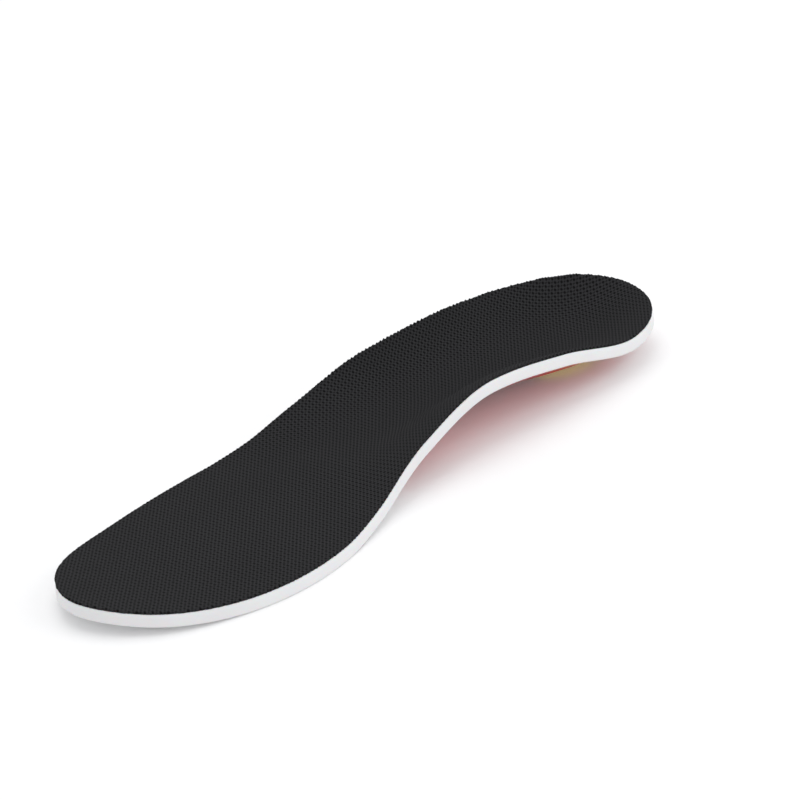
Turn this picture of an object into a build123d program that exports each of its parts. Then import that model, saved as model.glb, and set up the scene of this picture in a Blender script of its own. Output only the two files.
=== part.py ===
from build123d import *
import os
from math import asin, cos, exp, pi, sin, sqrt

# A right-foot insole with arch support. Plan positions are given as (s, x): s is the distance from the
# back of the heel towards the toes, x is the distance from the heel's centre line towards the inner foot.
# In the part's frame the toes point to -Y, the inner (arch) side is +X and the insole lies on Z = 0.

# ---- driving dimensions, mm ----
LENGTH = 270.0          # back of the heel to the toe tip
COVER = 1.0             # fabric thickness
GLUE_GAP = 0.1          # left between bonded layers
EDGE_THICK = 5.7        # cover and foam together at the rim and in the forefoot
SEAT_THICK = 7.0        # the whole stack under the heel and the midfoot
SHELL_CLEAR = 0.6       # shell above the ground, so that only its window ring touches it
TOE_LIFT = 5.0          # how far the toe tip curls up
LIFT_START = 222.0      # s where the forefoot starts to curl up

OUTLINE = [
    (0, 2.4), (5, 16.5), (20, 28.1), (50, 30.7), (85, 28.4), (120, 27.8), (150, 31.3), (180, 40.5),
    (210, 44.7), (237, 38.9), (257, 27.2), (267, 13.4), (270, 2.3), (265, -13.2), (250, -27.5),
    (225, -34.9), (195, -38.4), (165, -39.4), (130, -39.1), (95, -37.7), (60, -35.5), (30, -31.4), (6, -15.5),
]

# Height of the top surface at the rim, and of the valley between the two rims, as (s, height).
INNER_RIM = [(0, 16.1), (30, 15.1), (65, 22.5), (100, 26.3), (135, 17.7), (165, 8.0), (190, 5.7), (210, 5.7)]
OUTER_RIM = [(0, 19.7), (30, 19.8), (65, 21.4), (100, 19.6), (135, 12.1), (160, 6.8), (178, 5.7), (210, 5.7)]
VALLEY = [(0, 7.6), (110, 7.6), (165, 5.7), (210, 5.7)]
VALLEY_X = [(0, 0.0), (40, -3.0), (90, -12.0), (150, -8.0), (210, 0.0)]
# Distance from the centre line to each rim, with the round heel left out, as (s, x).
INNER_HALF = [(0, 31.0), (50, 30.7), (85, 28.4), (120, 27.8), (150, 31.3), (180, 40.5), (210, 44.7)]
OUTER_HALF = [
    (0, 26.5), (12, 28.7), (30, 31.7), (45, 34.4), (60, 35.5), (95, 37.7), (130, 39.1), (165, 39.4), (210, 37.0),
]
# The cross-section rises from the valley (ratio 0) to the rim (ratio 1) as ratio ** power. On the inner side
# it also swells, so that the arch's flank is steep half-way up and gentle at the rim.
INNER_POWER = 1.8
INNER_SWELL = [(0, 0.8), (40, 0.8), (80, 1.2), (150, 1.0), (190, 0.0)]
OUTER_POWER = 2.8
HEEL_ROUND = 34.0       # s where the round back of the heel ends
SIDE_BLEND = 6.0        # width of the change from outer to inner side at the heel's back

DOME_AT = (150.0, 0.0)  # middle of the metatarsal dome
DOME_SIZE = (20.0, 15.0)
DOME_HEIGHT = 2.0

SHELL_THICK = 1.8
SHELL_OUTLINE = [
    (8.5, 1.5), (13, 13), (26, 20.5), (50, 22.5), (85, 20), (120, 19.5), (143, 21.5), (156, 14),
    (161, -2), (157, -19), (146, -29.5), (125, -31.5), (90, -30), (55, -27), (28, -22.5), (13, -12),
]
PAD_AT = (38.0, 0.0)
PAD_RADII = (12.0, 15.5)    # across, along
PAD_TOP = 4.2
WINDOW_GAP = 0.3
RING_WIDTH = 2.8
RIB_COUNT = 9
RIB_FIRST = 74.0
RIB_PITCH = 8.0
RIB_SIZE = (1.6, 15.0)      # along s, across
RIB_PROUD = 0.5
RIB_X = 10.0

FLEX_INNER = (194.0, 45.0)  # the line that the ball of the foot bends along
FLEX_OUTER = (170.0, -40.0)
FLEX_GAP = 0.3

TRIM_LINES = 6
TRIM_BACK = 207.0           # s where the trim lines end on both sides
TRIM_MIDDLE = 4.0
TRIM_RADII = (34.0, 57.0)   # outermost line, across and along
TRIM_STEP = (2.4, 6.0)      # each next line is smaller by this
INK_WIDTH = 0.5
INK_DEPTH = 0.15
TRIM_ENDS = (1.0, 179.0)    # the dashes stay between these angles, in degrees
DASH = 1.1
DASH_PITCH = 2.1
MARK_SIZE = (2.2, 1.0)
MARK_ANGLES = (58.0, 64.0)  # the two rows of size marks, around each trim line
END_MARK_ANGLE = 178.0

FAR = 90.0                  # further than any surface of the insole
GRID_STEP = 5.0             # the surfaces are set out on a grid that starts here, with this many rows and columns
GRID_START = (-10.0, -55.0)
GRID_COUNT = (45, 24)


def at(s, x, z=0.0):
    """The point of the frame at plan position (s, x)."""
    return Vector(x, LENGTH / 2 - s, z)


def through(knots, s):
    """The value at s of a smooth curve through (s, value) knots, flat beyond both ends."""
    if s <= knots[0][0]:
        return knots[0][1]
    if s >= knots[-1][0]:
        return knots[-1][1]
    spans = [(b[0] - a[0], (b[1] - a[1]) / (b[0] - a[0])) for a, b in zip(knots, knots[1:])]
    slopes = [0.0]
    for (_, before), (_, after) in zip(spans, spans[1:]):
        same_way = before * after > 0
        slopes.append(2 * before * after / (before + after) if same_way else 0.0)
    slopes.append(0.0)
    i = max(k for k in range(len(spans)) if knots[k][0] <= s)
    width, rise = spans[i][0], spans[i][1] * spans[i][0]
    t = (s - knots[i][0]) / width
    ease = t * t * (3 - 2 * t)
    start = slopes[i] * width * t * (1 - t) ** 2
    end = slopes[i + 1] * width * t * t * (t - 1)
    return knots[i][1] + rise * ease + start + end


def inner_share(x):
    return 1 / (1 + exp(-x / SIDE_BLEND))


def rim_ratio(s, x):
    """0 on the valley line, 1 at the rim."""
    share = inner_share(x)
    middle = through(VALLEY_X, s)
    inner = through(INNER_HALF, s) - middle
    outer = through(OUTER_HALF, s) + middle
    across = (x - middle) / (share * inner + (1 - share) * outer)
    back = max(0.0, (HEEL_ROUND - s) / HEEL_ROUND)
    return sqrt(across ** 2 + back ** 2)


def footbed(s, x):
    """Height of the top surface without the metatarsal dome."""
    share = inner_share(x)
    valley = through(VALLEY, s)
    rim = share * through(INNER_RIM, s) + (1 - share) * through(OUTER_RIM, s)
    power = share * INNER_POWER + (1 - share) * OUTER_POWER
    ratio = rim_ratio(s, x)
    swell = 1 + share * through(INNER_SWELL, s) * (1 - ratio)
    return valley + (rim - valley) * ratio ** power * swell


def top_height(s, x):
    along = (s - DOME_AT[0]) / DOME_SIZE[0]
    across = (x - DOME_AT[1]) / DOME_SIZE[1]
    return footbed(s, x) + DOME_HEIGHT * exp(-along ** 2 - across ** 2)


def under_height(s, x):
    """Height of the underside: the stack thins from the valley to the rim."""
    seat = through(VALLEY, s)
    clear = SHELL_CLEAR * (seat - EDGE_THICK) / (SEAT_THICK + SHELL_CLEAR - EDGE_THICK)
    extra = (seat - clear - EDGE_THICK) * (1 - min(1.0, rim_ratio(s, x)) ** 2) ** 2
    return footbed(s, x) - EDGE_THICK - extra


def surface(height):
    """A smooth face over the rear two thirds of the plan."""
    rows, columns = [
        [start + GRID_STEP * i for i in range(count)] for start, count in zip(GRID_START, GRID_COUNT)
    ]
    return Face.make_surface_from_array_of_points([[at(s, x, height(s, x)) for x in columns] for s in rows])


def below(face, shift=0.0):
    """Everything under the face after it is moved up by shift."""
    return Solid.extrude(Pos(0, 0, shift) * face, Vector(0, 0, -FAR))


def column(face):
    return extrude(Pos(0, 0, -FAR / 2) * face, FAR)


def closed_face(points):
    return make_face(Spline(*[at(s, x) for s, x in points], periodic=True))


def grown(points, gap):
    """The same outline, stretched to stand about gap further out all round."""
    middles = [(min(values) + max(values)) / 2 for values in zip(*points)]
    halves = [(max(values) - min(values)) / 2 for values in zip(*points)]
    return [tuple(m + (v - m) * (1 + gap / h) for v, m, h in zip(point, middles, halves)) for point in points]


def oval(grow=0.0):
    """The heel pad's outline, larger by grow."""
    return Pos(at(*PAD_AT)) * Ellipse(PAD_RADII[0] + grow, PAD_RADII[1] + grow)


def half_plan(side):
    """Everything in front of (+1) or behind (-1) the flex line, half a gap away from it."""
    inner = at(*FLEX_INNER)
    outer = at(*FLEX_OUTER)
    along = (outer - inner).normalized()
    ahead = Vector(0, 0, 1).cross(along)
    near = (inner + outer) / 2 + ahead * (side * FLEX_GAP / 2)
    corners = [near - along * FAR, near + along * FAR]
    corners += [corner + ahead * (side * 3 * FAR) for corner in reversed(corners)]
    return column(make_face(Polyline(*corners, close=True)))


def forefoot_slab(low, high):
    """A layer of the forefoot between two heights above its underside, curled up at the toes."""
    radius = ((LENGTH - LIFT_START) ** 2 + TOE_LIFT ** 2) / (2 * TOE_LIFT)
    turn = asin((LENGTH + 10 - LIFT_START) / radius)

    def curl(height, angle):
        reach = radius - height
        return at(LIFT_START + reach * sin(angle), 0, radius - reach * cos(angle))

    back = [at(LENGTH / 2, 0, height) for height in (low, high)]
    start = [curl(height, 0) for height in (low, high)]
    tip = [curl(height, turn) for height in (low, high)]
    profile = Line(back[0], start[0]) + ThreePointArc(start[0], curl(low, turn / 2), tip[0])
    profile += Line(tip[0], tip[1]) + ThreePointArc(tip[1], curl(high, turn / 2), start[1])
    profile += Line(start[1], back[1]) + Line(back[1], back[0])
    return extrude(make_face(profile), FAR, dir=(1, 0, 0), both=True)


def trim_point(line, angle):
    """A point of a trim line, and the direction the line runs there."""
    across = TRIM_RADII[0] - TRIM_STEP[0] * line
    along = TRIM_RADII[1] - TRIM_STEP[1] * line
    turn = angle * pi / 180
    point = at(TRIM_BACK + along * sin(turn), TRIM_MIDDLE + across * cos(turn))
    return point, Vector(-across * sin(turn), -along * cos(turn), 0).normalized()


def bar(line, angle, size):
    """A bar lying along a trim line."""
    point, heading = trim_point(line, angle)
    return Plane(point, x_dir=heading, z_dir=(0, 0, 1)) * Rectangle(*size)


def solid_line(line):
    rims = []
    for shift in (-INK_WIDTH / 2, INK_WIDTH / 2):
        across = TRIM_RADII[0] - TRIM_STEP[0] * line + shift
        along = TRIM_RADII[1] - TRIM_STEP[1] * line + shift
        rims.append(Pos(at(TRIM_BACK, TRIM_MIDDLE)) * Ellipse(across, along))
    front = Pos(at(TRIM_BACK + FAR / 2, 0)) * Rectangle(FAR * 2, FAR)
    return (rims[1] - rims[0]) & front


def dashed_line(line):
    """Dashes at even steps along the line."""
    across = TRIM_RADII[0] - TRIM_STEP[0] * line
    along = TRIM_RADII[1] - TRIM_STEP[1] * line
    dashes = []
    angle = TRIM_ENDS[0]
    while angle < TRIM_ENDS[1]:
        dashes.append(bar(line, angle, (DASH, INK_WIDTH)))
        turn = angle * pi / 180
        speed = sqrt((across * sin(turn)) ** 2 + (along * cos(turn)) ** 2)
        angle += DASH_PITCH / speed * 180 / pi
    return dashes


def size_marks():
    """Plain bars beside each line, standing in for printed sizes."""
    angles = MARK_ANGLES + (END_MARK_ANGLE,)
    return [bar(line + 0.5, angle, MARK_SIZE) for line in range(TRIM_LINES) for angle in angles]


def inked(faces):
    """Shallow inlays in the underside of the forefoot."""
    layer = forefoot_slab(0, INK_DEPTH)
    return [layer & column(face) for face in faces]


def heel_pad(under):
    return extrude(oval(), PAD_TOP) - below(under)


def window_ring(under):
    band = oval(WINDOW_GAP + RING_WIDTH) - oval(WINDOW_GAP)
    return extrude(band, FAR / 2) & below(under, SHELL_THICK / 2)


def ribs(under):
    layer = below(under, SHELL_THICK / 2) - below(under, -RIB_PROUD)
    found = []
    for i in range(RIB_COUNT):
        rib = Pos(at(RIB_FIRST + RIB_PITCH * i, RIB_X)) * Rectangle(RIB_SIZE[1], RIB_SIZE[0])
        found.append(column(rib) & layer)
    return found


def support_shell(under):
    plate = column(closed_face(SHELL_OUTLINE)) & (below(under, SHELL_THICK) - below(under))
    for rib in ribs(under):
        plate += rib
    return plate - column(oval(WINDOW_GAP)) + window_ring(under)


def shell_pocket(under):
    outline = closed_face(grown(SHELL_OUTLINE, GLUE_GAP))
    return column(outline) & below(under, SHELL_THICK + GLUE_GAP)


def pad_pocket():
    return column(oval(GLUE_GAP)) & Pos(0, 0, PAD_TOP + GLUE_GAP - FAR / 2) * Box(FAR * 4, FAR * 4, FAR)


def solids_of(shape):
    shapes = shape if isinstance(shape, list) else [shape]
    return [solid for one in shapes for solid in one.solids()]


def build():
    top = surface(top_height)
    under = surface(under_height)
    plan = closed_face(OUTLINE)
    rear = column(plan) & half_plan(-1)
    front = column(plan) & half_plan(1)
    foam_top = COVER + GLUE_GAP

    solid_ink = inked([solid_line(line) for line in range(1, TRIM_LINES, 2)])
    dashed_ink = inked([face for line in range(0, TRIM_LINES, 2) for face in dashed_line(line)])
    marks = inked(size_marks())
    foam_front = front & forefoot_slab(0, EDGE_THICK - foam_top)
    for ink in solid_ink + dashed_ink + marks:
        foam_front -= ink

    hollow = below(under) + shell_pocket(under) + pad_pocket()
    foam_rear = (rear & below(top, -foam_top)) - hollow
    nodes = {
        "top_cover_rear": rear & (below(top) - below(top, -COVER)),
        "top_cover_forefoot": front & forefoot_slab(EDGE_THICK - COVER, EDGE_THICK),
        "foam_base_rear": foam_rear,
        "foam_base_forefoot": foam_front,
        "support_shell": support_shell(under),
        "heel_pad": heel_pad(under),
        "trim_lines_solid": solid_ink,
        "trim_lines_dashed": dashed_ink,
        "size_marks": marks,
    }
    box = plan.bounding_box()
    centre = Pos(-box.center().X, -box.center().Y, 0)
    print("centre shift", box.center(), "size", box.size)
    return {name: [centre * solid for solid in solids_of(shape)] for name, shape in nodes.items()}


os.makedirs("parts", exist_ok=True)
for name, solids in build().items():
    export_step(Compound(children=solids) if len(solids) > 1 else solids[0], f"parts/{name}.step")
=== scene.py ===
import math

import bpy
import numpy as np
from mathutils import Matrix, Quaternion, Vector
from mathutils.kdtree import KDTree


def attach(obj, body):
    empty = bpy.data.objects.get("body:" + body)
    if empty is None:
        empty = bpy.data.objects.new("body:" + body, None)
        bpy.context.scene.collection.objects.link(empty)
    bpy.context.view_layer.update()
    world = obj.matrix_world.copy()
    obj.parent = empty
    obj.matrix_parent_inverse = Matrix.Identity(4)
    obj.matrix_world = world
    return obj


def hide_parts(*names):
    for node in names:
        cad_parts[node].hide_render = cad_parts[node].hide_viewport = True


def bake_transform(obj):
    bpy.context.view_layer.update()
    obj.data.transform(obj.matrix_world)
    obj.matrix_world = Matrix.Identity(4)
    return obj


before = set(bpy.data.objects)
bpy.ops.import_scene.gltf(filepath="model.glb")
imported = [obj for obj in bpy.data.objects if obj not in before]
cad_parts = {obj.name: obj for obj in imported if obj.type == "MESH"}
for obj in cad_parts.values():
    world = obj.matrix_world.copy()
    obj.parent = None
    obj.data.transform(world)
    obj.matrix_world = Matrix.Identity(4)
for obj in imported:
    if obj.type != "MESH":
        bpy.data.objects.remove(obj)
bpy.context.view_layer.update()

# Looks of a right-foot insole. Plan positions are (s, x) in mm: s runs from the back of the heel to the toes,
# x from the heel's centre line towards the inner foot. The frame's -Y is the toes and +X the inner side.
MM = 0.001

# ---- the insole's own shape, as in its CAD source, mm ----
LENGTH = 270.0          # back of the heel to the toe tip
COVER = 1.0             # fabric thickness
EDGE_THICK = 5.7        # cover and foam together at the rim and in the forefoot
SEAT_THICK = 7.0        # the whole stack under the heel and the midfoot
SHELL_CLEAR = 0.6       # shell above the ground, so that only its window ring touches it
TOE_LIFT = 5.0          # how far the toe tip curls up
LIFT_START = 222.0      # s where the forefoot starts to curl up
OUTLINE = [
    (0, 2.4), (5, 16.5), (20, 28.1), (50, 30.7), (85, 28.4), (120, 27.8), (150, 31.3), (180, 40.5),
    (210, 44.7), (237, 38.9), (257, 27.2), (267, 13.4), (270, 2.3), (265, -13.2), (250, -27.5),
    (225, -34.9), (195, -38.4), (165, -39.4), (130, -39.1), (95, -37.7), (60, -35.5), (30, -31.4), (6, -15.5),
]
# height of the top surface at the rim, and of the valley between the two rims, as (s, height)
INNER_RIM = [
    (0, 16.1), (30, 15.1), (65, 22.5), (100, 26.3), (135, 17.7), (165, 8.0), (190, 5.7), (210, 5.7),
]
OUTER_RIM = [
    (0, 19.7), (30, 19.8), (65, 21.4), (100, 19.6), (135, 12.1), (160, 6.8), (178, 5.7), (210, 5.7),
]
VALLEY = [(0, 7.6), (110, 7.6), (165, 5.7), (210, 5.7)]
VALLEY_X = [(0, 0.0), (40, -3.0), (90, -12.0), (150, -8.0), (210, 0.0)]
# distance from the centre line to each rim, with the round heel left out, as (s, x)
INNER_HALF = [(0, 31.0), (50, 30.7), (85, 28.4), (120, 27.8), (150, 31.3), (180, 40.5), (210, 44.7)]
OUTER_HALF = [
    (0, 26.5), (12, 28.7), (30, 31.7), (45, 34.4), (60, 35.5), (95, 37.7), (130, 39.1), (165, 39.4),
    (210, 37.0),
]
# the cross-section rises from the valley to the rim as ratio ** power, and swells on the inner side
INNER_POWER = 1.8
INNER_SWELL = [(0, 0.8), (40, 0.8), (80, 1.2), (150, 1.0), (190, 0.0)]
OUTER_POWER = 2.8
HEEL_ROUND = 34.0       # s where the round back of the heel ends
SIDE_BLEND = 6.0        # width of the change from outer to inner side at the heel's back
DOME_AT = (150.0, 0.0)  # middle of the metatarsal dome
DOME_SIZE = (20.0, 15.0)
DOME_HEIGHT = 2.0
SHELL_THICK = 1.8
SHELL_OUTLINE = [
    (8.5, 1.5), (13, 13), (26, 20.5), (50, 22.5), (85, 20), (120, 19.5), (143, 21.5), (156, 14),
    (161, -2), (157, -19), (146, -29.5), (125, -31.5), (90, -30), (55, -27), (28, -22.5), (13, -12),
]
PAD_AT = (38.0, 0.0)
PAD_RADII = (12.0, 15.5)    # across, along
PAD_TOP = 4.2
WINDOW_GAP = 0.3        # between the pad and the shell's window

# ---- camera, m and degrees ----
CAMERA_AIM = (0.0031, 0.0117, 0.0217)
CAMERA_DISTANCE = 1.1217
CAMERA_AZIMUTH = 47.71
CAMERA_ELEVATION = 25.57
CAMERA_ROLL = 6.73
CAMERA_FIELD = 14.0


# ---------------------------------------------------------------- the insole's surfaces

def through(knots, s):
    """The values at s of a smooth curve through (s, value) knots, flat beyond both ends."""
    at, value = np.array(knots, float).T
    width = np.diff(at)
    slope = np.diff(value) / width
    before, after = slope[:-1], slope[1:]
    total = np.where(before * after > 0, before + after, 1.0)
    inner = np.where(before * after > 0, 2 * before * after / total, 0.0)
    slopes = np.concatenate([[0.0], inner, [0.0]])
    s = np.clip(s, at[0], at[-1])
    i = np.clip(np.searchsorted(at, s, side="right") - 1, 0, len(width) - 1)
    t = (s - at[i]) / width[i]
    ease = t * t * (3 - 2 * t)
    start = slopes[i] * width[i] * t * (1 - t) ** 2
    end = slopes[i + 1] * width[i] * t * t * (t - 1)
    return value[i] + slope[i] * width[i] * ease + start + end


def inner_share(x):
    return 1 / (1 + np.exp(-x / SIDE_BLEND))


def rim_ratio(s, x):
    """0 on the valley line, 1 at the rim."""
    share = inner_share(x)
    middle = through(VALLEY_X, s)
    inner = through(INNER_HALF, s) - middle
    outer = through(OUTER_HALF, s) + middle
    across = (x - middle) / (share * inner + (1 - share) * outer)
    back = np.maximum(0.0, (HEEL_ROUND - s) / HEEL_ROUND)
    return np.sqrt(across ** 2 + back ** 2)


def toe_curl(s):
    """How far the forefoot has curled up at s."""
    radius = ((LENGTH - LIFT_START) ** 2 + TOE_LIFT ** 2) / (2 * TOE_LIFT)
    past = np.maximum(0.0, s - LIFT_START)
    return radius - np.sqrt(radius ** 2 - past ** 2)


def footbed(s, x):
    share = inner_share(x)
    valley = through(VALLEY, s)
    rim = share * through(INNER_RIM, s) + (1 - share) * through(OUTER_RIM, s)
    power = share * INNER_POWER + (1 - share) * OUTER_POWER
    ratio = rim_ratio(s, x)
    swell = 1 + share * through(INNER_SWELL, s) * (1 - ratio)
    return valley + (rim - valley) * ratio ** power * swell


def top_height(s, x):
    along = (s - DOME_AT[0]) / DOME_SIZE[0]
    across = (x - DOME_AT[1]) / DOME_SIZE[1]
    return footbed(s, x) + DOME_HEIGHT * np.exp(-along ** 2 - across ** 2) + toe_curl(s)


def under_height(s, x):
    seat = through(VALLEY, s)
    clear = SHELL_CLEAR * (seat - EDGE_THICK) / (SEAT_THICK + SHELL_CLEAR - EDGE_THICK)
    extra = (seat - clear - EDGE_THICK) * (1 - np.minimum(1.0, rim_ratio(s, x)) ** 2) ** 2
    return footbed(s, x) - EDGE_THICK - extra + toe_curl(s)


# ---------------------------------------------------------------- outlines and meshes

CURVE_STEPS = 200       # between two of a closed curve's points


def closed_curve(points, count):
    """Even steps along the smooth closed curve through the points: a periodic cubic spline."""
    knots = np.array(points, float)
    size = len(knots)
    ahead = np.roll(knots, -1, axis=0)
    step = np.linalg.norm(ahead - knots, axis=1)
    before = np.roll(step, 1)
    system = np.zeros((size, size))
    for i in range(size):
        system[i, i - 1] += before[i]
        system[i, i] += 2 * (before[i] + step[i])
        system[i, (i + 1) % size] += step[i]
    rise = (ahead - knots) / step[:, None]
    bend = np.linalg.solve(system, 6 * (rise - np.roll(rise, 1, axis=0)))
    bend_ahead = np.roll(bend, -1, axis=0)
    fine = np.linspace(0, 1, CURVE_STEPS, endpoint=False)[:, None]
    pieces = []
    for i in range(size):
        a, b, h = 1 - fine, fine, step[i]
        curve = a * knots[i] + b * ahead[i]
        curve += ((a ** 3 - a) * bend[i] + (b ** 3 - b) * bend_ahead[i]) * h * h / 6
        pieces.append(curve)
    path = np.concatenate(pieces + [pieces[0][:1]])
    along = np.concatenate([[0], np.cumsum(np.linalg.norm(np.diff(path, axis=0), axis=1))])
    marks = np.linspace(0, along[-1], count, endpoint=False)
    return np.stack([np.interp(marks, along, path[:, k]) for k in (0, 1)], axis=1)


def outward(curve):
    """Unit normals of a closed curve, pointing out of it."""
    run = np.roll(curve, -1, axis=0) - np.roll(curve, 1, axis=0)
    normal = np.stack([run[:, 1], -run[:, 0]], axis=1)
    normal /= np.linalg.norm(normal, axis=1)[:, None]
    out = normal if np.sum(normal * (curve - curve.mean(0))) > 0 else -normal
    return out


def plan_shift():
    """The frame's centre is the middle of the plan's box."""
    plan = closed_curve(OUTLINE, 4000)
    return (plan.min(0) + plan.max(0)) / 2


PLAN_MIDDLE = plan_shift()


def placed(s, x, z):
    """Frame coordinates, in metres, of plan positions and heights in mm."""
    return np.stack([(x - PLAN_MIDDLE[1]) * MM, (PLAN_MIDDLE[0] - s) * MM, z * MM], axis=-1)


def new_object(name, points, faces, material):
    mesh = bpy.data.meshes.new(name)
    mesh.from_pydata(points.tolist(), [], faces)
    mesh.validate()
    mesh.shade_smooth()
    mesh.materials.append(material)
    piece = bpy.data.objects.new(name, mesh)
    bpy.context.scene.collection.objects.link(piece)
    return piece


def ring_faces(rings, count):
    """Quads between closed rings of count points each."""
    i = np.arange(count)
    j = (i + 1) % count
    faces = []
    for k in range(rings - 1):
        a, b = k * count, (k + 1) * count
        faces.append(np.stack([a + i, a + j, b + j, b + i], axis=1))
    return np.concatenate(faces)


def merged(points, faces):
    """Points that coincide become one, and faces keep their distinct corners. Faces back to back both go."""
    keys = np.round(points * 1e8).astype(np.int64)
    _, first, back = np.unique(keys, axis=0, return_index=True, return_inverse=True)
    back = back.reshape(-1)
    clean = {}
    for face in back[faces]:
        corners = [int(c) for k, c in enumerate(face) if c != face[k - 1]]
        same = frozenset(corners)
        if len(same) > 2 and len(same) == len(corners) and clean.pop(same, None) is None:
            clean[same] = corners
    return points[first], list(clean.values())


def stacked(layers):
    """One closed skin through a list of rings, each an array of (s, x, z)."""
    count = len(layers[0])
    rings = np.concatenate(layers)
    points = placed(rings[:, 0], rings[:, 1], rings[:, 2])
    return merged(points, ring_faces(len(layers), count))


def spine(count, back, front):
    """Matching points on a line down the middle, for the rings to shrink onto."""
    i = np.arange(count) + 0.5
    t = np.minimum(i, count - i) * 2 / count
    return np.stack([back + (front - back) * t, np.zeros(count)], axis=1)


def plan_ring(outline, middle, ratio, inset=0.0):
    """A ring at ratio of the way from the middle line to the outline, less a constant inset."""
    return middle + (outline - outward(outline) * inset - middle) * ratio


def lifted(ring, height, shift=0.0):
    z = height(ring[:, 0], ring[:, 1]) + shift
    return np.column_stack([ring, z])


def smooth_step(value, start, end):
    t = np.clip((value - start) / (end - start), 0, 1)
    return t * t * (3 - 2 * t)


# ---------------------------------------------------------------- materials

class Nodes:
    """A small helper to wire a node material."""

    def __init__(self, name):
        self.material = bpy.data.materials.new(name)
        self.material.use_nodes = True
        self.tree = self.material.node_tree
        self.tree.nodes.clear()
        self.shader = self.add("ShaderNodeBsdfPrincipled")
        self.output = self.add("ShaderNodeOutputMaterial")
        self.link(self.shader.outputs[0], self.output.inputs["Surface"])

    def add(self, kind, **values):
        node = self.tree.nodes.new(kind)
        for key, value in values.items():
            if hasattr(node, key):
                setattr(node, key, value)
            else:
                node.inputs[key.replace("_", " ")].default_value = value
        return node

    def link(self, source, target):
        self.tree.links.new(source, target)

    def math(self, operation, a, b=0.5):
        node = self.add("ShaderNodeMath", operation=operation)
        for socket, value in zip(node.inputs, (a, b)):
            if isinstance(value, (int, float)):
                socket.default_value = value
            else:
                self.link(value, socket)
        return node.outputs[0]

    def ramp(self, source, stops):
        node = self.add("ShaderNodeValToRGB")
        elements = node.color_ramp.elements
        while len(elements) < len(stops):
            elements.new(0.5)
        for element, (position, colour) in zip(elements, stops):
            element.position = position
            element.color = (*colour, 1)
        self.link(source, node.inputs[0])
        return node.outputs[0]

    def noise(self, vector, scale, detail=3.0, roughness=0.5):
        node = self.add("ShaderNodeTexNoise", Scale=scale, Detail=detail, Roughness=roughness)
        self.link(vector, node.inputs["Vector"])
        return node.outputs["Fac"]

    def bump(self, height, strength, distance):
        node = self.add("ShaderNodeBump", Strength=strength, Distance=distance)
        self.link(height, node.inputs["Height"])
        return node.outputs[0]

    def set(self, **values):
        for key, value in values.items():
            self.shader.inputs[key.replace("_", " ")].default_value = value


def rest_vector(nodes):
    """Coordinates in metres that stick to the cloth or foam when it bends."""
    return nodes.add("ShaderNodeAttribute", attribute_name="rest").outputs["Vector"]


MESH_PITCH = 1.75 * MM      # from hole to hole
MESH_WANDER = 0.35 * MM     # how far the rows of holes stray


def cover_material():
    nodes = Nodes("black_mesh_fabric")
    rest = rest_vector(nodes)
    wander = nodes.add("ShaderNodeTexNoise", Scale=1 / (5 * MM), Detail=2.0)
    nodes.link(rest, wander.inputs["Vector"])
    moved = nodes.add("ShaderNodeVectorMath", operation="MULTIPLY_ADD")
    moved.inputs[1].default_value = (MESH_WANDER, MESH_WANDER, 0)
    nodes.link(wander.outputs["Color"], moved.inputs[0])
    nodes.link(rest, moved.inputs[2])
    place = nodes.add("ShaderNodeSeparateXYZ")
    nodes.link(moved.outputs[0], place.inputs[0])
    turns = [nodes.math("MULTIPLY", place.outputs[axis], 2 * math.pi / MESH_PITCH) for axis in (0, 1)]
    across, along = [nodes.math("COSINE", turn) for turn in turns]
    # rows of holes, staggered, with every second row a little smaller
    weave = nodes.math("ADD", nodes.math("MULTIPLY", across, along), nodes.math("MULTIPLY", along, 0.4))
    weave = nodes.math("ADD", nodes.math("MULTIPLY", weave, 0.36), 0.5)
    yarn = nodes.noise(rest, 1 / (0.16 * MM), 2.0, 0.6)
    cloud = nodes.noise(rest, 1 / (22 * MM), 3.0, 0.55)
    thread = nodes.ramp(weave, [(0.42, (1, 1, 1)), (0.74, (0, 0, 0))])
    tone = nodes.math("MULTIPLY", thread, nodes.math("ADD", nodes.math("MULTIPLY", yarn, 0.6), 0.7))
    tone = nodes.math("MULTIPLY", tone, nodes.math("ADD", nodes.math("MULTIPLY", cloud, 0.3), 0.85))
    colour = nodes.ramp(tone, [(0.0, (0.0068, 0.0068, 0.0071)), (1.0, (0.033, 0.033, 0.0346))])
    nodes.link(colour, nodes.shader.inputs["Base Color"])
    height = nodes.math("ADD", thread, nodes.math("MULTIPLY", yarn, 0.3))
    nodes.link(nodes.bump(height, 0.8, 0.3 * MM), nodes.shader.inputs["Normal"])
    nodes.set(Roughness=0.9, Specular_IOR_Level=0.06)
    return nodes.material


def foam_material():
    nodes = Nodes("white_foam")
    rest = rest_vector(nodes)
    pores = nodes.noise(rest, 1 / (0.35 * MM), 4.0, 0.65)
    patches = nodes.noise(rest, 1 / (14 * MM), 3.0, 0.5)
    colour = nodes.ramp(patches, [(0.3, (0.84, 0.84, 0.846)), (0.7, (0.866, 0.866, 0.87))])
    nodes.link(colour, nodes.shader.inputs["Base Color"])
    nodes.link(nodes.bump(pores, 0.35, 0.15 * MM), nodes.shader.inputs["Normal"])
    nodes.set(Roughness=0.62, Specular_IOR_Level=0.35, Subsurface_Weight=0.15, Subsurface_Scale=0.002)
    return nodes.material


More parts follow.
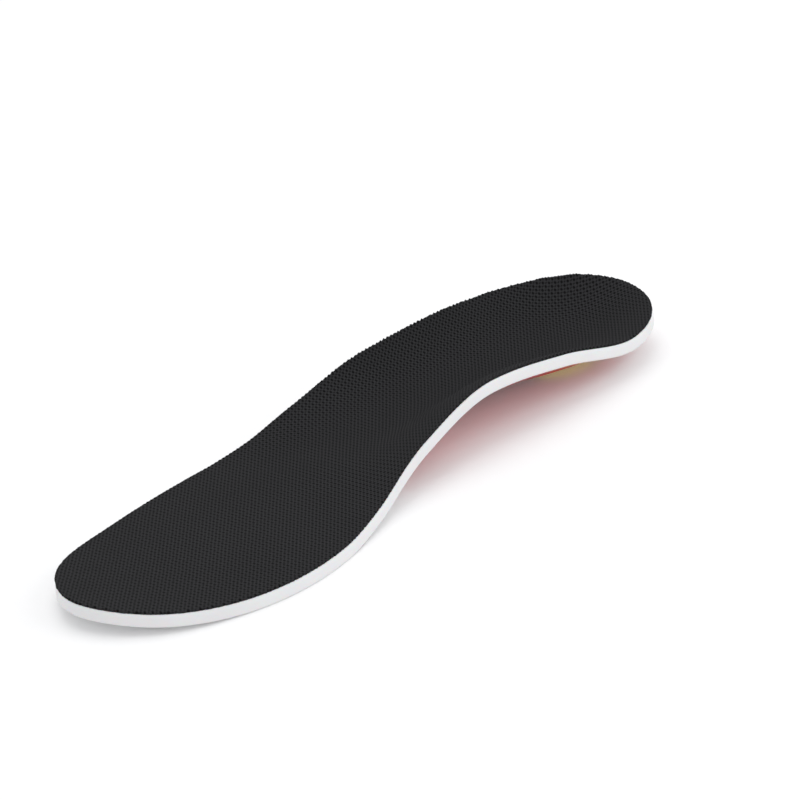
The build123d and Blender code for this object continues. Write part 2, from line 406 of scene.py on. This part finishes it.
def shell_material():
    nodes = Nodes("red_moulded_plastic")
    rest = rest_vector(nodes)
    mottling = nodes.noise(rest, 1 / (18 * MM), 4.0, 0.55)
    grain = nodes.noise(rest, 1 / (0.5 * MM), 3.0, 0.6)
    colour = nodes.ramp(mottling, [(0.3, (0.40, 0.012, 0.018)), (0.7, (0.52, 0.022, 0.028))])
    nodes.link(colour, nodes.shader.inputs["Base Color"])
    rough = nodes.math("ADD", nodes.math("MULTIPLY", grain, 0.12), 0.17)
    nodes.link(rough, nodes.shader.inputs["Roughness"])
    nodes.link(nodes.bump(grain, 0.08, 0.05 * MM), nodes.shader.inputs["Normal"])
    nodes.set(Coat_Weight=0.35, Coat_Roughness=0.12, Specular_IOR_Level=0.5)
    return nodes.material


def pad_material():
    nodes = Nodes("yellow_cushion")
    rest = rest_vector(nodes)
    skin = nodes.noise(rest, 1 / (0.45 * MM), 4.0, 0.6)
    patches = nodes.noise(rest, 1 / (9 * MM), 2.0, 0.5)
    colour = nodes.ramp(patches, [(0.3, (0.93, 0.60, 0.035)), (0.7, (1.0, 0.68, 0.055))])
    nodes.link(colour, nodes.shader.inputs["Base Color"])
    nodes.link(nodes.bump(skin, 0.3, 0.12 * MM), nodes.shader.inputs["Normal"])
    nodes.set(Roughness=0.5, Subsurface_Weight=0.2, Subsurface_Scale=0.003)
    return nodes.material


def ink_material():
    nodes = Nodes("grey_print")
    place = nodes.add("ShaderNodeTexCoord").outputs["Object"]
    wear = nodes.noise(place, 1 / (0.6 * MM), 3.0, 0.7)
    colour = nodes.ramp(wear, [(0.3, (0.22, 0.22, 0.23)), (0.75, (0.42, 0.42, 0.43))])
    nodes.link(colour, nodes.shader.inputs["Base Color"])
    nodes.set(Roughness=0.55)
    return nodes.material


def points_of(piece):
    here = np.empty(len(piece.data.vertices) * 3)
    piece.data.vertices.foreach_get("co", here)
    return here.reshape(-1, 3)


def keep_rest(piece, points=None):
    """Stores where each point is when the insole is flat, for the materials to follow."""
    here = points_of(piece) if points is None else points
    rest = piece.data.attributes.new("rest", "FLOAT_VECTOR", "POINT")
    rest.data.foreach_set("vector", here.astype(np.float32).ravel())


LAID_ROWS = (-5.0, 280.0, 2.5)          # start, end and step of the grid that the fabric is laid on, mm
LAID_COLUMNS = (-55.0, 55.5, 0.5)


def unrolled(points):
    """The points with their distance across the cup measured along the surface, as the fabric lies on it."""
    rows, columns = np.arange(*LAID_ROWS), np.arange(*LAID_COLUMNS)
    s, x = np.meshgrid(rows, columns, indexing="ij")
    slope = np.gradient(top_height(s, x), columns, axis=1)
    reach = np.cumsum(np.sqrt(1 + slope ** 2), axis=1) * LAID_COLUMNS[2]
    reach -= reach[:, [np.argmin(np.abs(columns))]]
    at_s = PLAN_MIDDLE[0] - points[:, 1] / MM
    at_x = points[:, 0] / MM + PLAN_MIDDLE[1]
    i = np.clip((at_s - rows[0]) / LAID_ROWS[2], 0, len(rows) - 2)
    j = np.clip((at_x - columns[0]) / LAID_COLUMNS[2], 0, len(columns) - 2)
    i0, j0 = i.astype(int), j.astype(int)
    u, v = i - i0, j - j0
    near = reach[i0, j0] * (1 - v) + reach[i0, j0 + 1] * v
    far = reach[i0 + 1, j0] * (1 - v) + reach[i0 + 1, j0 + 1] * v
    laid = points.copy()
    laid[:, 0] = (near * (1 - u) + far * u) * MM
    return laid


# ---------------------------------------------------------------- pieces

PLAN_POINTS = 1000
SHELL_POINTS = 900
SPINE = (30.0, 240.0)           # the line down the middle that the rings shrink onto, from s to s
COVER_POINTS = 1800
COVER_RATIOS = (*np.linspace(0, 0.96, 34), 0.98, 0.99)      # of the rings on its top, short of the edge
COVER_EDGE = ((0.12, 0.02), (0.03, 0.12), (0.0, 0.3), (0.0, 0.7), (0.06, 0.92))     # inset and drop, mm
EDGE_NOTCH = 0.14               # how deep the cut edge dips at a hole, mm
EDGE_YARN = 0.05                # how far loose yarns stray from it


def plan_outline(count, inset=0.0):
    outline = closed_curve(OUTLINE, count)
    return outline - outward(outline) * inset


def cut_edge(outline):
    """The fabric is cut through its mesh, so the edge is notched at the holes, with loose yarns between."""
    at = unrolled(placed(outline[:, 0], outline[:, 1], np.zeros(len(outline))))
    turn = 2 * np.pi / MESH_PITCH
    hole = np.cos(at[:, 0] * turn) * np.cos(at[:, 1] * turn)
    offset = EDGE_YARN * np.random.default_rng(3).normal(0, 1, len(outline)) - EDGE_NOTCH * hole
    return outline + outward(outline) * offset[:, None]


def make_cover(material):
    outline = cut_edge(plan_outline(COVER_POINTS))
    middle = spine(COVER_POINTS, *SPINE)
    layers = [lifted(plan_ring(outline, middle, r), top_height) for r in COVER_RATIOS]
    for inset, drop in COVER_EDGE:
        layers.append(lifted(plan_ring(outline, middle, 1.0, inset), top_height, -drop))
    layers.append(lifted(plan_ring(outline, middle, 1.0, 0.3), top_height, -COVER))
    layers += [lifted(plan_ring(outline, middle, r), top_height, -COVER) for r in COVER_RATIOS[-3::-3]]
    piece = new_object("top_cover", *stacked(layers), material)
    keep_rest(piece, unrolled(points_of(piece)))
    return piece


FOAM_GAP = 0.04         # between the cover and the foam
FOAM_PROUD = 0.15       # the foam's cut edge stands this far out of the cover's at its top
FOAM_SLANT = 0.3        # and this much further out at its bottom
FOAM_WALL = ((0.15, 0.0), (0.0, 0.04), (0.0, 0.35), (0.0, 0.65), (0.0, 0.88), (0.12, 0.95), (0.4, 0.99))
FOAM_RINGS = 76         # on the underside
PRINT_CLEAR = 0.05      # the print stands this far out of the foam
POCKET_ROOM = 0.05      # between the shell and the foam above it
POCKET_WALL = (-0.35, 0.7)      # where the pocket's wall starts and ends, inside the shell's outline
PAD_ROOM = 0.1          # between the pad and the foam above it


def pocket(ring, shell_edge):
    """How far the foam's underside is hollowed above the shell and the heel pad."""
    inside = inset_in(ring, shell_edge)
    along = (ring[:, 0] - PAD_AT[0]) / (PAD_RADII[1] + 1)
    across = (ring[:, 1] - PAD_AT[1]) / (PAD_RADII[0] + 1)
    over_pad = 1 - smooth_step(np.sqrt(along ** 2 + across ** 2), 0.96, 1.02)
    for_pad = PAD_TOP + PAD_ROOM - under_height(ring[:, 0], ring[:, 1])
    for_shell = (SHELL_THICK + POCKET_ROOM) * smooth_step(inside, *POCKET_WALL)
    return np.maximum(for_shell, over_pad * for_pad)


def inset_in(ring, edge):
    """Distance inside a closed curve, in mm; negative outside."""
    tree = KDTree(len(edge))
    for i, (s, x) in enumerate(edge):
        tree.insert((s, x, 0), i)
    tree.balance()
    normals = outward(edge)
    found = np.empty(len(ring))
    for k, (s, x) in enumerate(ring):
        _, i, gap = tree.find((s, x, 0))
        found[k] = gap if np.dot(ring[k] - edge[i], normals[i]) < 0 else -gap
    return found


def make_foam(material):
    outline = plan_outline(PLAN_POINTS, -FOAM_PROUD)
    middle = spine(PLAN_POINTS, *SPINE)
    shell_edge = closed_curve(SHELL_OUTLINE, SHELL_POINTS)
    roof = COVER + FOAM_GAP
    top_ratios = np.linspace(0, 0.98, 14)
    layers = [lifted(plan_ring(outline, middle, r), top_height, -roof) for r in top_ratios]
    for inset, part in FOAM_WALL:       # part is how far down the wall
        ring = plan_ring(outline, middle, 1.0, inset - FOAM_SLANT * part)
        high = top_height(ring[:, 0], ring[:, 1]) - roof
        low = under_height(ring[:, 0], ring[:, 1]) + PRINT_CLEAR
        layers.append(np.column_stack([ring, high + (low - high) * part]))
    for r in np.linspace(0.985, 0, FOAM_RINGS):
        ring = plan_ring(outline, middle, r)
        z = under_height(ring[:, 0], ring[:, 1]) + PRINT_CLEAR + pocket(ring, shell_edge)
        layers.append(np.column_stack([ring, z]))
    piece = new_object("foam_base", *stacked(layers), material)
    keep_rest(piece)
    return piece


SHELL_RINGS = 92        # on the underside
SHELL_TOP_RINGS = 12
RING_PROUD = 0.45       # the raised ring round the window
RING_WIDTH = 2.8
GROOVE_DEPTH = 0.3
GROOVE_WIDTH = 0.7
LINE_INSET = 5.2        # the outer line from the shell's edge at the heel
LINE_SPREAD = 3.0       # and this much further in towards the toes
RIB_PROUD = 0.5
RIB_FIRST = 74.0
RIB_PITCH = 8.0
SHELL_EDGE = ((0.55, 0.0), (0.35, 0.02), (0.15, 0.12), (0.03, 0.28), (0.0, 0.5))    # inset and rise, mm


def pad_distance(s, x):
    """Roughly the distance outside the pad's oval, in mm."""
    along = (s - PAD_AT[0]) / PAD_RADII[1]
    across = (x - PAD_AT[1]) / PAD_RADII[0]
    ratio = np.sqrt(along ** 2 + across ** 2)
    reach = np.sqrt((s - PAD_AT[0]) ** 2 + (x - PAD_AT[1]) ** 2)
    return reach * (1 - 1 / np.maximum(ratio, 0.05))


def groove(distance):
    """A round groove where distance is near zero."""
    return -GROOVE_DEPTH * np.exp(-(2 * distance / GROOVE_WIDTH) ** 2)


# the long panel's side lines, as (s, x)
PANEL_OUTER = [(50, -1.0), (61, -3.4), (90, -10.5), (120, -12.5), (150, -11.5)]
PANEL_INNER = [(44, 16.5), (51, 14.2), (65, 10.8), (85, 8.0), (115, 7.5), (150, 10.0)]
PANEL_HEEL = 1.47       # the panel's heel end, as a multiple of the pad's oval
PANEL_DEPTH = 0.3       # how far the panel is hollowed
LINE_STEPS = (2.4, 4.6)     # the two lines beside the panel's inner line


def shell_relief(s, x, edge_distance):
    """How far the moulded details stand out of the shell's underside, in mm."""
    from_pad = pad_distance(s, x)
    ring = smooth_step(from_pad, 0.3, 0.9) * (1 - smooth_step(from_pad, RING_WIDTH - 0.7, RING_WIDTH))
    relief = RING_PROUD * ring
    # the line that follows the outer edge and wraps round the heel, with a notch behind the ring
    outer_side = np.clip(smooth_step(-x, 0, 4) + smooth_step(30 - s, 0, 6), 0, 1)
    spread = LINE_INSET + LINE_SPREAD * smooth_step(s, 60, 110)
    relief = relief + groove(edge_distance - spread) * outer_side * smooth_step(11 - x, 0, 2)
    behind = smooth_step(from_pad, RING_WIDTH, RING_WIDTH + 0.5) * smooth_step(edge_distance, 4.6, 5.2)
    relief = relief + groove(x + 0.05 * (PAD_AT[0] - s)) * behind * smooth_step(24 - s, 0, 2)
    # the long panel: two side lines, and a hollow heel end round the ring, so that it has a horn on each side
    oval = np.sqrt(((s - PAD_AT[0]) / PAD_RADII[1]) ** 2 + ((x - PAD_AT[1]) / PAD_RADII[0]) ** 2)
    heel_end = 13.5 * (oval - PANEL_HEEL)
    inner_line = through(PANEL_INNER, s)
    in_panel = np.minimum(np.minimum(x - through(PANEL_OUTER, s), inner_line - x), heel_end)
    within = smooth_step(s, 46, 49) * (1 - smooth_step(s, 147, 151))
    relief = relief + (groove(in_panel) - PANEL_DEPTH * smooth_step(in_panel, 0, 1.2)) * within
    # two more lines beside it, closing up towards the heel
    spacing = 0.4 + 0.6 * smooth_step(s, 50, 84)
    for step in LINE_STEPS:
        relief = relief + 0.8 * groove(x - inner_line - step * spacing) * within
    # cross ribs up the arch's flank
    beyond = x - inner_line - LINE_STEPS[1] * spacing
    rib_zone = smooth_step(edge_distance, 0.8, 1.4) * smooth_step(beyond, 0.3, 0.9)
    rib_zone = rib_zone * smooth_step(s, 62, 64) * (1 - smooth_step(s, 141, 143))
    beat = np.cos(2 * np.pi * (s - RIB_FIRST) / RIB_PITCH)
    relief = relief + RIB_PROUD * smooth_step(beat, 0.35, 0.8) * rib_zone
    return relief


SLIT_START, SLIT_END = 0.46, 0.9        # parts of the way round the inner boundary
SLIT_LENGTH = 72
SLIT_SLANT = 4.0


def shell_inner(count):
    """The shell's inner boundary: the window's oval, and a closed slit from it towards the toes."""
    oval = (PAD_RADII[0] + WINDOW_GAP, PAD_RADII[1] + WINDOW_GAP)
    i = np.arange(count)
    t = np.minimum(i, count - i) / (count / 2)
    side = np.where(i <= count / 2, 1.0, -1.0)
    turn = np.pi * np.clip(t / SLIT_START, 0, 1)
    s = PAD_AT[0] - oval[1] * np.cos(turn)
    x = PAD_AT[1] + side * oval[0] * np.sin(turn)
    slit = np.clip((t - SLIT_START) / (SLIT_END - SLIT_START), 0, 1)
    s = np.where(t > SLIT_START, PAD_AT[0] + oval[1] + slit * SLIT_LENGTH, s)
    x = np.where(t > SLIT_START, -SLIT_SLANT * slit, x)
    return np.stack([s, x], axis=1)


def make_shell(material):
    outline = closed_curve(SHELL_OUTLINE, SHELL_POINTS)
    inner = shell_inner(SHELL_POINTS)
    layers = []

    def add(ratio, edge_inset, side, shift):
        ring = inner + (outline - outward(outline) * edge_inset - inner) * ratio
        z = under_height(ring[:, 0], ring[:, 1])
        if side == "under":
            z = z - shell_relief(ring[:, 0], ring[:, 1], inset_in(ring, outline)) + shift
        else:
            z = z + SHELL_THICK + shift
        layers.append(np.column_stack([ring, z]))

    for ratio in np.linspace(0.995, 0.0, SHELL_TOP_RINGS):
        add(ratio, 0.0, "top", 0.0)
    for ratio in np.linspace(0.0, 1.0, SHELL_RINGS)[:-1]:
        add(ratio, SHELL_EDGE[0][0], "under", 0.0)
    for inset, rise in SHELL_EDGE:
        add(1.0, inset, "under", rise)
    add(1.0, 0.0, "top", -0.2)
    layers.append(layers[0])
    piece = new_object("arch_support_shell", *stacked(layers), material)
    keep_rest(piece)
    return piece


PAD_POINTS = 200
PAD_CROWN = 0.35        # how far the pad's middle stands out
PAD_ROUND = 0.8         # how far its rim is rounded back
PAD_WALL = ((1.0, 0.6), (1.0, 0.9), (0.98, 0.97), (0.94, 1.0), (0.5, 1.0), (0, 1.0))    # ratio and height


def make_pad(material):
    turn = np.linspace(0, 2 * np.pi, PAD_POINTS, endpoint=False)
    centre = np.array([PAD_AT])
    edge = centre + np.stack([PAD_RADII[1] * np.cos(turn), PAD_RADII[0] * np.sin(turn)], axis=1)
    layers = []
    for ratio in np.linspace(0, 1, 30):
        ring = centre + (edge - centre) * ratio
        z = under_height(ring[:, 0], ring[:, 1]) - PAD_CROWN * (1 - ratio ** 4)
        z += PAD_ROUND * smooth_step(ratio, 0.92, 1.0) ** 2
        layers.append(np.column_stack([ring, z]))
    for ratio, height in PAD_WALL:
        ring = centre + (edge - centre) * ratio
        low = under_height(ring[:, 0], ring[:, 1]) + PAD_ROUND
        layers.append(np.column_stack([ring, low + (PAD_TOP - low) * height]))
    piece = new_object("heel_cushion", *stacked(layers), material)
    keep_rest(piece)
    return piece


# ---------------------------------------------------------------- stage

def make_floor():
    nodes = Nodes("studio_floor")
    nodes.set(Base_Color=(0.935, 0.935, 0.935, 1), Roughness=0.9, Specular_IOR_Level=0.1)
    nodes.set(Emission_Color=(1, 1, 1, 1), Emission_Strength=0.05)
    seen_through = nodes.add("ShaderNodeBsdfTransparent")
    below = nodes.add("ShaderNodeNewGeometry").outputs["Backfacing"]
    # soft light comes through the floor to what faces it, and the floor itself still takes its shadow
    path = nodes.add("ShaderNodeLightPath")
    first = nodes.math("LESS_THAN", path.outputs["Diffuse Depth"], 1.5)
    soft = nodes.math("MULTIPLY", path.outputs["Is Diffuse Ray"], first)
    mix = nodes.add("ShaderNodeMixShader")
    nodes.link(nodes.math("MAXIMUM", below, soft), mix.inputs[0])
    nodes.link(nodes.shader.outputs[0], mix.inputs[1])
    nodes.link(seen_through.outputs[0], mix.inputs[2])
    nodes.link(mix.outputs[0], nodes.output.inputs["Surface"])
    size = 6.0
    corners = np.array([(-size, -size, 0), (size, -size, 0), (size, size, 0), (-size, size, 0)])
    floor = new_object("floor", corners, [(0, 1, 2, 3)], nodes.material)


def make_light(name, location, energy, size):
    lamp = bpy.data.lights.new(name, "AREA")
    lamp.energy = energy
    lamp.shape = "DISK"
    lamp.size = size
    holder = bpy.data.objects.new(name, lamp)
    holder.location = location
    holder.rotation_mode = "QUATERNION"
    holder.rotation_quaternion = (-Vector(location)).to_track_quat("-Z", "Y")
    bpy.context.scene.collection.objects.link(holder)


def make_world():
    world = bpy.data.worlds.new("studio")
    world.use_nodes = True
    background = world.node_tree.nodes["Background"]
    background.inputs["Color"].default_value = (0.985, 0.988, 1.0, 1)
    background.inputs["Strength"].default_value = 0.81
    bpy.context.scene.world = world


def make_camera():
    data = bpy.data.cameras.new("camera")
    data.sensor_width = 36
    data.lens = data.sensor_width / 2 / math.tan(math.radians(CAMERA_FIELD / 2))
    data.clip_start, data.clip_end = 0.01, 50
    camera = bpy.data.objects.new("camera", data)
    a, e = math.radians(CAMERA_AZIMUTH), math.radians(CAMERA_ELEVATION)
    back = Vector((math.sin(a) * math.cos(e), -math.cos(a) * math.cos(e), math.sin(e)))
    camera.location = Vector(CAMERA_AIM) + back * CAMERA_DISTANCE
    camera.rotation_mode = "QUATERNION"
    roll = Quaternion((0, 0, 1), -math.radians(CAMERA_ROLL))
    camera.rotation_quaternion = (-back).to_track_quat("-Z", "Y") @ roll
    bpy.context.scene.collection.objects.link(camera)
    bpy.context.scene.camera = camera


# ---------------------------------------------------------------- assembly


cover = make_cover(cover_material())
foam = make_foam(foam_material())
shell = make_shell(shell_material())
pad = make_pad(pad_material())

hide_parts("top_cover_rear", "top_cover_forefoot")
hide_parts("foam_base_rear", "foam_base_forefoot")
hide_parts("support_shell")
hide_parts("heel_pad")
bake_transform(cover)
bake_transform(foam)
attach(shell, "rearfoot")
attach(pad, "rearfoot")

ink = ink_material()
for node in ("trim_lines_solid", "trim_lines_dashed", "size_marks"):
    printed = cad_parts[node]
    printed.data.materials.clear()
    printed.data.materials.append(ink)

make_floor()
make_world()
make_light("key", (-0.3, 0.15, 1.9), 9, 1.8)
make_light("fill", (1.35, 0.75, 0.8), 6, 1.6)
make_camera()
bpy.context.scene.view_settings.view_transform = "Standard"
